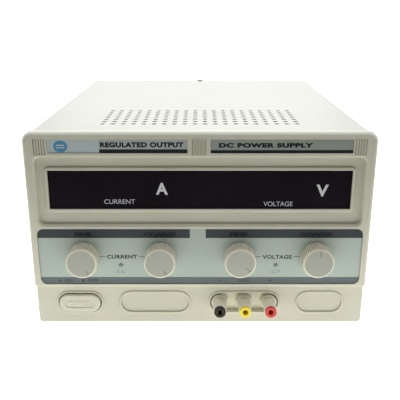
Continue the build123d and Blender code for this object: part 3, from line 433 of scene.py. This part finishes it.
def laminate_material():
    t = Tree("core_laminations")
    y = t.axes()[1]
    stripe = t.math("SINE", t.math("MULTIPLY", y, 2 * pi / 0.0009))
    c = t.mix(t.ramp(stripe, -0.6, 0.6), (0.035, 0.032, 0.030), (0.10, 0.095, 0.090))
    rust = t.ramp(t.noise(150.0, 4.0, 0.65), 0.58, 0.80)
    c = t.mix(t.math("MULTIPLY", rust, 0.4), c, (0.16, 0.075, 0.035))
    t.colour(c)
    t.rough(t.ramp(t.noise(200.0, 3.0, 0.6), 0.3, 0.7, 0.40, 0.62))
    t.normal(t.bump(stripe, 0.4, 0.00008))
    t.set(spec=0.5, metal=0.4)
    return t.mat


def winding_material():
    t = Tree("winding_tape")
    z = t.axes()[2]
    turn = t.math("SINE", t.math("MULTIPLY", z, 2 * pi / 0.0031))
    c = t.mix(t.ramp(turn, -0.8, 0.3), (0.48, 0.30, 0.035), (0.66, 0.44, 0.060))
    c = t.mix(t.math("MULTIPLY", t.ramp(t.noise(160.0, 3.0, 0.6), 0.5, 0.8), 0.3), c, (0.30, 0.17, 0.04))
    t.colour(c)
    t.rough(t.ramp(t.noise(300.0, 2.0, 0.5), 0.3, 0.7, 0.30, 0.45))
    t.normal(t.bump(turn, 0.35, 0.00012))
    t.set(spec=0.5)
    return t.mat


def can_material():
    t = Tree("capacitor_sleeve")
    x, y, z = t.axes()
    top = t.ramp(z, 0.0605, 0.0612)
    stripe = t.math("MULTIPLY", t.math("LESS_THAN", t.math("ABSOLUTE", t.math("ADD", y, -0.0212)), 0.004),
                    t.math("LESS_THAN", t.math("FRACT", t.math("MULTIPLY", z, 120.0)), 0.6))
    c = t.mix(t.ramp(t.noise(40.0, 2.0, 0.5), 0.3, 0.7), (0.012, 0.020, 0.070), (0.016, 0.028, 0.090))
    c = t.mix(stripe, c, (0.55, 0.56, 0.58))
    c = t.mix(top, c, (0.50, 0.50, 0.51))
    t.colour(c)
    t.rough(t.ramp(t.noise(260.0, 2.0, 0.5), 0.3, 0.7, 0.22, 0.34))
    t.normal(t.bump(t.noise(90.0, 2.0, 0.5), 0.15, 0.0002))
    t.set(spec=0.5)
    return t.mat


def socket_with_ring_reflection(name, x0, ring_reflection_colour):
    """Brass stud whose hole is painted in the ring's colour: a painted reflection of the ring round it, thrown back
    down the hole.
    """
    t = Tree(name)
    x, y, z = t.axes()
    dx = t.math("SUBTRACT", x, x0)
    dz = t.math("SUBTRACT", z, 0.0218)
    r2 = t.math("ADD", t.math("MULTIPLY", dx, dx), t.math("MULTIPLY", dz, dz))
    hole = t.math("LESS_THAN", r2, 0.0024 ** 2)
    lines = t.noise(700.0, 4.0, 0.65, t.stretch(1.0, 0.3, 1.0))
    brass = t.mix(t.ramp(lines, 0.3, 0.7), (0.54, 0.42, 0.18), (0.64, 0.50, 0.21))
    # painted reflection: inside the hole the stud takes the ring's colour
    c = t.mix(t.ramp(lines, 0.3, 0.7), shade(ring_reflection_colour, 0.88), shade(ring_reflection_colour, 1.04))
    t.colour(t.mix(hole, brass, c))
    t.rough(t.ramp(lines, 0.3, 0.7, 0.34, 0.50))
    t.link(t.ramp(hole, 0.0, 1.0, 1.0, 0.2), t.bsdf.inputs["Metallic"])
    t.normal(t.bump(lines, 0.22, 0.00003))
    t.set(spec=0.5)
    return t.mat


def fuse_material():
    t = Tree("fuse_glass_and_caps")
    x = t.axes()[0]
    caps = t.math("GREATER_THAN", t.math("ABSOLUTE", t.math("SUBTRACT", x, 0.075)), 0.0051)
    c = t.mix(caps, (0.62, 0.66, 0.62), (0.66, 0.64, 0.58))
    c = t.mix(t.ramp(t.noise(600.0, 2.0, 0.5), 0.4, 0.8, 0.0, 0.3), c, (0.40, 0.38, 0.32))
    t.colour(c)
    t.rough(t.ramp(t.noise(500.0, 2.0, 0.6), 0.3, 0.7, 0.12, 0.24))
    t.link(t.math("MULTIPLY", caps, 0.9), t.bsdf.inputs["Metallic"])
    t.normal(t.bump(t.noise(900.0, 2.0, 0.5), 0.08, 0.00002))
    return t.mat


def lead_material():
    t = Tree("lead_insulation")
    x = t.axes()[0]
    red = t.math("GREATER_THAN", x, 0.5)
    c = t.mix(t.ramp(t.noise(60.0, 2.0, 0.5), 0.3, 0.7), (0.20, 0.014, 0.012), (0.25, 0.020, 0.016))
    c = t.mix(red, c, (0.02, 0.02, 0.02))
    t.colour(c)
    t.rough(t.ramp(t.noise(400.0, 2.0, 0.5), 0.3, 0.7, 0.40, 0.52))
    t.normal(t.bump(t.noise(900.0, 2.0, 0.5), 0.2, 0.00004))
    return t.mat


def led_material():
    t = Tree("led_lens_unlit")
    edge = t.edges(0.0003)
    c = t.mix(t.ramp(t.noise(500.0, 2.0, 0.5), 0.3, 0.7), (0.20, 0.225, 0.215), (0.26, 0.285, 0.27))
    c = t.mix(t.math("MULTIPLY", edge, 0.5), c, (0.42, 0.45, 0.43))
    t.colour(c)
    t.rough(t.ramp(t.noise(700.0, 2.0, 0.5), 0.3, 0.7, 0.16, 0.26))
    t.normal(t.bump(t.noise(1200.0, 2.0, 0.5), 0.08, 0.00002))
    t.set(spec=0.5)
    return t.mat


M["board"] = board_material()
M["core"] = laminate_material()
M["winding"] = winding_material()
M["can"] = can_material()
M["fuse"] = fuse_material()
M["brass_yellow"] = socket_with_ring_reflection("socket_brass_yellow", 0.03575, (0.90, 0.64, 0.06))
M["brass_red"] = socket_with_ring_reflection("socket_brass_red", 0.05575, (0.88, 0.13, 0.07))
M["lead"] = lead_material()
M["led"] = led_material()

FINISH = {
    "front_bezel": "bezel", "lower_front_panel": "lower", "blank_plug_long": "lower",
    "blank_plug_right": "lower", "terminal_plate": "terminal", "post_bases": "collar",
    "power_button": "button",
    "knob_current_fine": "knob", "knob_current_coarse": "knob",
    "knob_voltage_fine": "knob", "knob_voltage_coarse": "knob",
    "post_sleeve_black": "sleeve", "post_sleeve_yellow": "sleeve", "post_sleeve_red": "sleeve",
    "top_cover": "cover", "rear_panel": "rear",
    "chassis_pan": "zinc", "front_subpanel": "zinc", "fan_guard": "guard", "pot_nuts": "zinc",
    "terminal_nuts": "zinc", "cover_screws": "screw", "panel_screws": "screw",
    "board_standoffs": "brass",
    "pot_shaft_current_fine": "shaft", "pot_shaft_current_coarse": "shaft",
    "pot_shaft_voltage_fine": "shaft", "pot_shaft_voltage_coarse": "shaft",
    "display_window": "window", "control_overlay": "overlay",
    "label_plate_left": "label_left", "label_plate_right": "label_right",
    "post_ring_black": "black_cap", "post_ring_yellow": "yellow_cap", "post_ring_red": "red_cap",
    "post_stud_black": "brass", "post_stud_yellow": "brass_yellow", "post_stud_red": "brass_red",
    "inlet_pins": "pin", "current_led": "led", "voltage_led": "led",
    "digit_displays": "black", "switch_plunger": "black", "power_switch": "black",
    "bridge_rectifier": "black", "power_transistors": "black", "fan_frame": "black",
    "fan_rotor": "black", "mains_inlet": "black", "fuse_drawer": "black",
    "potentiometers": "black", "display_board": "board", "main_board": "board",
    "filter_capacitors": "can", "heatsink": "sink", "transformer_core": "core",
    "transformer_winding": "winding", "fuse": "fuse", "output_leads": "lead",
    "rubber_feet": "rubber",
}
for name, obj in nodes.items():
    obj.data.materials.clear()
    obj.data.materials.append(M[FINISH[name]])

# --------------------------------------------------------------------------
# Printed legends: thin ink layers, each fitted to a box on its panel
# --------------------------------------------------------------------------
INK_T = 0.00004


def finish_piece(name, mesh, material, body):
    obj = bpy.data.objects.new(name, mesh)
    obj.data.materials.clear()
    obj.data.materials.append(material)
    scene.collection.objects.link(obj)
    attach(obj, body)
    return obj


def glyphs(text, bold=0.0, spacing=1.0, thick=0.1):
    """Closed mesh of a line of text in its own x-y plane, unit height."""
    curve = bpy.data.curves.new("glyphs", "FONT")
    curve.body = text
    curve.size = 1.0
    curve.extrude = thick / 2
    curve.offset = bold
    curve.space_character = spacing
    curve.resolution_u = 8
    curve.fill_mode = "BOTH"
    holder = bpy.data.objects.new("glyphs", curve)
    scene.collection.objects.link(holder)
    bpy.context.view_layer.update()
    dg = bpy.context.evaluated_depsgraph_get()
    mesh = bpy.data.meshes.new_from_object(holder.evaluated_get(dg))
    bpy.data.objects.remove(holder)
    bpy.data.curves.remove(curve)
    return mesh


def place_text(bm, text, x0, x1, z0, z1, face_y, thick=INK_T, bold=0.0, spacing=1.0):
    """Adds text to bm, stretched to fill x0..x1 by z0..z1 (metres), standing on the plane y=face_y."""
    mesh = glyphs(text, bold, spacing)
    co = [v.co.copy() for v in mesh.vertices]
    lo = Vector((min(c.x for c in co), min(c.y for c in co), min(c.z for c in co)))
    hi = Vector((max(c.x for c in co), max(c.y for c in co), max(c.z for c in co)))
    for v, c in zip(mesh.vertices, co):
        u = (c.x - lo.x) / (hi.x - lo.x)
        w = (c.y - lo.y) / (hi.y - lo.y)
        d = (c.z - lo.z) / (hi.z - lo.z)
        v.co = (x0 + u * (x1 - x0), face_y + thick * 0.25 - d * thick * 1.25, z0 + w * (z1 - z0))
    bm.from_mesh(mesh)
    bpy.data.meshes.remove(mesh)


def prism(bm, outline, face_y, thick=INK_T):
    """Closed thin plate from an x-z outline, standing on the plane y=face_y."""
    back = [bm.verts.new((x, face_y + thick * 0.25, z)) for x, z in outline]
    front = [bm.verts.new((x, face_y - thick, z)) for x, z in outline]
    n = len(outline)
    bm.faces.new(front)
    bm.faces.new(list(reversed(back)))
    for i in range(n):
        j = (i + 1) % n
        bm.faces.new((back[i], back[j], front[j], front[i]))


def box_outline(x0, x1, z0, z1):
    return [(x0, z0), (x1, z0), (x1, z1), (x0, z1)]


def corner(cx, cz, r, a0, a1, steps=10):
    return [(cx + r * cos(radians(a0 + (a1 - a0) * k / steps)),
             cz + r * sin(radians(a0 + (a1 - a0) * k / steps))) for k in range(steps + 1)]


def legend(name, material, body, build):
    bm = bmesh.new()
    build(bm)
    bmesh.ops.remove_doubles(bm, verts=bm.verts, dist=1e-8)
    bmesh.ops.recalc_face_normals(bm, faces=bm.faces)
    mesh = bpy.data.meshes.new(name)
    bm.to_mesh(mesh)
    bm.free()
    return finish_piece(name, mesh, material, body)


mm = 0.001
o_face = Y(1.0)
o_lo, o_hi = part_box("control_overlay")
R = 5.0 * mm


def band_top_left(bm):
    x0, x1 = o_lo.x, -7.9 * mm
    z0, z1 = Z(74.9), o_hi.z
    prism(bm, [(x0, z0), (x1, z0), (x1, z1)] + corner(x0 + R, z1 - R, R, 90, 180), o_face)


def band_top_right(bm):
    x0, x1 = 4.4 * mm, o_hi.x
    z0, z1 = Z(74.9), o_hi.z
    prism(bm, [(x0, z0), (x1, z0)] + corner(x1 - R, z1 - R, R, 0, 90) + [(x0, z1)], o_face)


def band_low(bm):
    x0, x1 = o_lo.x, o_hi.x
    z0, z1 = o_lo.z, Z(41.5)
    prism(bm, [(x1, z1), (x0, z1)] + corner(x0 + R, z0 + R, R, 180, 270)
          + corner(x1 - R, z0 + R, R, 270, 360), o_face)


legend("overlay_band_left", M["ink_band_top"], "case", band_top_left)
legend("overlay_band_right", M["ink_band_top"], "case", band_top_right)
legend("overlay_band_low", M["ink_band_low"], "case", band_low)

b_face = o_face - INK_T          # on top of the bands


def legends_band(bm):
    for x0, x1, word in ((-97.6, -84.4, "FINE"), (-43.8, -18.9, "COARSE"),
                         (23.2, 37.1, "FINE"), (78.0, 103.2, "COARSE")):
        place_text(bm, word, x0 * mm, x1 * mm, Z(76.2), Z(79.7), b_face, bold=0.075)


def legends_low(bm):
    # arrow and square marks beside ON and OFF
    prism(bm, [(-113.0 * mm, Z(37.5)), (-110.3 * mm, Z(37.5)), (-111.65 * mm, Z(39.9))], b_face)
    prism(bm, box_outline(-94.2 * mm, -91.9 * mm, Z(37.6), Z(39.8)), b_face)
    place_text(bm, "ON", -107.9 * mm, -101.9 * mm, Z(37.4), Z(40.0), b_face, bold=0.030)
    place_text(bm, "OFF", -89.4 * mm, -81.4 * mm, Z(37.4), Z(40.0), b_face, bold=0.030)
    prism(bm, box_outline(14.2 * mm, 17.3 * mm, Z(38.3), Z(38.9)), b_face)
    place_text(bm, "GND", 31.0 * mm, 40.2 * mm, Z(37.3), Z(40.0), b_face, bold=0.015)
    plus = 55.75
    prism(bm, [(px * mm, Z(pz)) for px, pz in
               ((plus - 0.3, 37.1), (plus + 0.3, 37.1), (plus + 0.3, 38.3), (plus + 1.5, 38.3),
                (plus + 1.5, 38.9), (plus + 0.3, 38.9), (plus + 0.3, 40.1), (plus - 0.3, 40.1),
                (plus - 0.3, 38.9), (plus - 1.5, 38.9), (plus - 1.5, 38.3), (plus - 0.3, 38.3))], b_face)


def legends_main(bm):
    place_text(bm, "CURRENT", -73.3 * mm, -49.5 * mm, Z(57.4), Z(60.7), o_face, bold=0.038, spacing=1.08)
    place_text(bm, "VOLTAGE", 49.2 * mm, 72.3 * mm, Z(57.2), Z(60.5), o_face, bold=0.038, spacing=1.08)
    for x0, x1 in ((-78.6, -74.6), (-48.4, -43.4), (43.4, 47.9), (73.6, 78.6)):
        prism(bm, box_outline(x0 * mm, x1 * mm, Z(58.85), Z(59.3)), o_face)


def legends_lamps(bm):
    place_text(bm, "C.C", -65.9 * mm, -59.4 * mm, Z(45.1), Z(47.7), o_face)
    place_text(bm, "C.V", 56.8 * mm, 63.3 * mm, Z(45.1), Z(47.7), o_face)


legend("legend_fine_coarse", M["ink_black"], "case", legends_band)
legend("legend_on_off_terminals", M["ink_dark"], "case", legends_low)
legend("legend_current_voltage", M["ink_dark"], "case", legends_main)
legend("legend_lamps", M["ink_soft"], "case", legends_lamps)

w_face = Y(4.0)


def legends_units(bm):
    place_text(bm, "A", -33.7 * mm, -24.6 * mm, Z(109.3), Z(118.8), w_face, bold=0.030)
    place_text(bm, "V", 88.9 * mm, 98.3 * mm, Z(107.8), Z(117.4), w_face, bold=0.030)


def legends_meter(bm):
    place_text(bm, "CURRENT", -73.6 * mm, -50.0 * mm, Z(101.9), Z(105.6), w_face, bold=0.0)
    place_text(bm, "VOLTAGE", 48.9 * mm, 71.2 * mm, Z(100.1), Z(103.8), w_face, bold=0.0)


legend("legend_units", M["ink_white"], "case", legends_units)
legend("legend_meters", M["ink_pale"], "case", legends_meter)

l_face = Y(0.6)


def label_bars(bm):
    prism(bm, box_outline(-74.9 * mm, -9.5 * mm, Z(142.95), Z(145.8)), l_face)
    prism(bm, box_outline(8.1 * mm, 113.8 * mm, Z(142.95), Z(145.2)), l_face)


def label_text(bm):
    place_text(bm, "REGULATED OUTPUT", -74.2 * mm, -12.2 * mm, Z(147.2), Z(151.2), l_face, bold=0.060, spacing=1.10)
    place_text(bm, "DC POWER SUPPLY", 14.0 * mm, 84.0 * mm, Z(147.0), Z(150.6), l_face, bold=0.070, spacing=1.12)


legend("label_bars", M["ink_black"], "case", label_bars)
legend("label_text", M["ink_black"], "case", label_text)


def dc_disc(bm):
    cx, cz, r = -103.6 * mm, Z(147.9), 4.5 * mm
    prism(bm, [(cx + 1.15 * r * cos(2 * pi * k / 64), cz + r * sin(2 * pi * k / 64)) for k in range(64)], l_face)


def dc_bars(bm):
    """Generic direct-current sign: a solid line over a broken one."""
    cx, cz, on = -103.6 * mm, Z(147.9), l_face - INK_T
    prism(bm, box_outline(cx - 3.0 * mm, cx + 3.0 * mm, cz + 0.55 * mm, cz + 1.35 * mm), on)
    for k in (-1, 0, 1):
        prism(bm, box_outline(cx + (k * 2.2 - 0.8) * mm, cx + (k * 2.2 + 0.8) * mm,
                              cz - 1.35 * mm, cz - 0.55 * mm), on)


legend("label_dc_disc", M["ink_blue"], "case", dc_disc)
legend("label_dc_bars", M["ink_white"], "case", dc_bars)

# painted shade: thin discs painted darker than the knob laid on the knob faces, cut away over the pointer grooves
KNOBS = {"current_fine": (-91.0, 150.0), "current_coarse": (-31.0, 150.0),
         "voltage_fine": (31.0, 128.0), "voltage_coarse": (91.0, 8.0)}


def knob_face_shade_disc(x, turn):
    def build(bm):
        face, thick = Y(-13.5), 0.00006
        sa, ca = sin(radians(turn)), cos(radians(turn))
        slot_pts = [(8.0 * sa + u * ca + v * sa, 8.0 * ca - u * sa + v * ca)
                    for u, v in ((-0.4, -2.4), (0.4, -2.4), (0.4, 2.4), (-0.4, 2.4))]
        ring = [(10.72 * sin(2 * pi * k / 96), 10.72 * cos(2 * pi * k / 96)) for k in range(96)]
        loops = []
        for depth in (-thick, thick * 0.25):
            edges = []
            for pts in (ring, slot_pts):
                vs = [bm.verts.new(((x + px) * mm, face + depth, Z(59.1 + pz))) for px, pz in pts]
                es = [bm.edges.new((vs[i], vs[(i + 1) % len(vs)])) for i in range(len(vs))]
                edges += es
                loops.append(vs)
            bmesh.ops.triangle_fill(bm, edges=edges, use_beauty=True)
        for outer, inner in ((loops[0], loops[2]), (loops[1], loops[3])):
            n = len(outer)
            for i in range(n):
                j = (i + 1) % n
                bm.faces.new((outer[i], outer[j], inner[j], inner[i]))
    return build


for control, (kx, turn) in KNOBS.items():
    legend("knob_face_" + control, M["knob_face"], "knob_" + control + "_body",
           knob_face_shade_disc(kx, turn))

M["pointer"] = ink("pointer_paint", (0.23, 0.22, 0.185), rough=0.6)
M["pointer_pale"] = ink("pointer_paint_worn", (0.36, 0.36, 0.305), rough=0.6)


def pointer_fill(x, turn):
    def build(bm):
        sa, ca = sin(radians(turn)), cos(radians(turn))
        prism(bm, [((x + 8.0 * sa + u * ca + v * sa) * mm, Z(59.1 + 8.0 * ca - u * sa + v * ca))
                   for u, v in ((-0.36, -2.36), (0.36, -2.36), (0.36, 2.36), (-0.36, 2.36))],
              Y(-13.5 + 0.36), thick=0.00008)
    return build


for control, (kx, turn) in KNOBS.items():
    legend("knob_pointer_" + control, M["pointer" if control == "voltage_coarse" else "pointer_pale"], "knob_" + control + "_body",
           pointer_fill(kx, turn))

# raised word in the button's shallow recess
p_face = Y(1.5)


def button_word(bm):
    place_text(bm, "POWER", (-97.2 - 9.0) * mm, (-97.2 + 9.0) * mm, Z(17.8 - 2.1), Z(17.8 + 2.1),
               p_face, thick=0.00035, bold=0.03)


# painted highlight: the raised word is the bezel plastic painted 1.17 times lighter, for the light caught by the
# raised letters
M["button_word"] = moulding("button_word_painted_highlight", shade(BEZEL, 1.17), rough=0.40, grain=0.05, crevice_dust_and_shade=0.0)
legend("power_button_word", M["button_word"], "power_button_body", button_word)

# --------------------------------------------------------------------------
# Floor, light
# --------------------------------------------------------------------------
floor_mesh = bpy.data.meshes.new("floor")
fb = bmesh.new()
fb.faces.new([fb.verts.new(c) for c in ((-4.0, -0.33, 0.0), (4.0, -0.33, 0.0), (4.0, 7.0, 0.0), (-4.0, 7.0, 0.0))])
bmesh.ops.subdivide_edges(fb, edges=fb.edges, cuts=3, use_grid_fill=True)
fb.to_mesh(floor_mesh)
fb.free()
floor = bpy.data.objects.new("floor", floor_mesh)
t = Tree("floor_paper")
t.colour(t.mix(t.ramp(t.noise(3.0, 2.0, 0.5), 0.3, 0.7), (0.90, 0.90, 0.895), (0.92, 0.92, 0.915)))
t.rough(t.ramp(t.noise(40.0, 2.0, 0.5), 0.3, 0.7, 0.75, 0.85))
t.set(spec=0.1)
t.bsdf.inputs["Emission Color"].default_value = (1.0, 1.0, 0.985, 1.0)
t.bsdf.inputs["Emission Strength"].default_value = 0.90
floor_mesh.materials.append(t.mat)
scene.collection.objects.link(floor)

# a white tent, darker on the side where the user stands
world = bpy.data.worlds.new("tent")
scene.world = world
world.use_nodes = True
wn = world.node_tree
wn.nodes.clear()
w_out = wn.nodes.new("ShaderNodeOutputWorld")
w_bg = wn.nodes.new("ShaderNodeBackground")
w_cam = wn.nodes.new("ShaderNodeBackground")
w_mix = wn.nodes.new("ShaderNodeMixShader")
w_path = wn.nodes.new("ShaderNodeLightPath")
w_tc = wn.nodes.new("ShaderNodeTexCoord")
w_dot = wn.nodes.new("ShaderNodeVectorMath")
w_dot.operation = "DOT_PRODUCT"
front = Vector((-0.10, -1.0, 0.35)).normalized()
w_dot.inputs[1].default_value = front
w_range = wn.nodes.new("ShaderNodeMapRange")
w_range.interpolation_type = "SMOOTHSTEP"
w_range.inputs[1].default_value = 0.20
w_range.inputs[2].default_value = 0.72
w_range.inputs[3].default_value = 0.72
w_range.inputs[4].default_value = 0.07
wn.links.new(w_tc.outputs["Generated"], w_dot.inputs[0])
wn.links.new(w_dot.outputs["Value"], w_range.inputs[0])
wn.links.new(w_range.outputs[0], w_bg.inputs["Strength"])
w_bg.inputs["Color"].default_value = (1.0, 1.0, 0.985, 1.0)
w_cam.inputs["Color"].default_value = (1.0, 1.0, 1.0, 1.0)
w_cam.inputs["Strength"].default_value = 1.0
wn.links.new(w_path.outputs["Is Camera Ray"], w_mix.inputs[0])
wn.links.new(w_bg.outputs[0], w_mix.inputs[1])
wn.links.new(w_cam.outputs[0], w_mix.inputs[2])
wn.links.new(w_mix.outputs[0], w_out.inputs[0])


def area(name, loc, target, size, power, colour=(1, 1, 1), glossy=True):
    data = bpy.data.lights.new(name, "AREA")
    data.shape = "RECTANGLE"
    data.size, data.size_y = size
    data.energy = power
    data.color = colour
    obj = bpy.data.objects.new(name, data)
    obj.location = loc
    obj.rotation_euler = (Vector(target) - Vector(loc)).to_track_quat("-Z", "Y").to_euler()
    obj.visible_glossy = glossy
    obj.visible_camera = False
    scene.collection.objects.link(obj)
    return obj


area("overhead_box", (0.05, -0.10, 1.10), (0.05, -0.10, 0.0), (1.3, 1.2), 7.6)
area("table_bounce", (0.0, -0.245, 0.0012), (0.0, -0.245, 1.0), (0.75, 0.15), 0.062, (1.0, 1.0, 0.97), glossy=False)
area("low_strip", (0.0, -0.290, 0.026), (0.0, -0.150, 0.026), (0.75, 0.045), 0.105, (1.0, 1.0, 0.97), glossy=False)
area("backdrop", (0.0, 1.6, 0.55), (0.0, 0.0, 0.15), (1.0, 0.9), 3.0)

scene.view_settings.view_transform = "Standard"
scene.view_settings.look = "None"
scene.view_settings.exposure = 0.0
scene.view_settings.gamma = 1.0
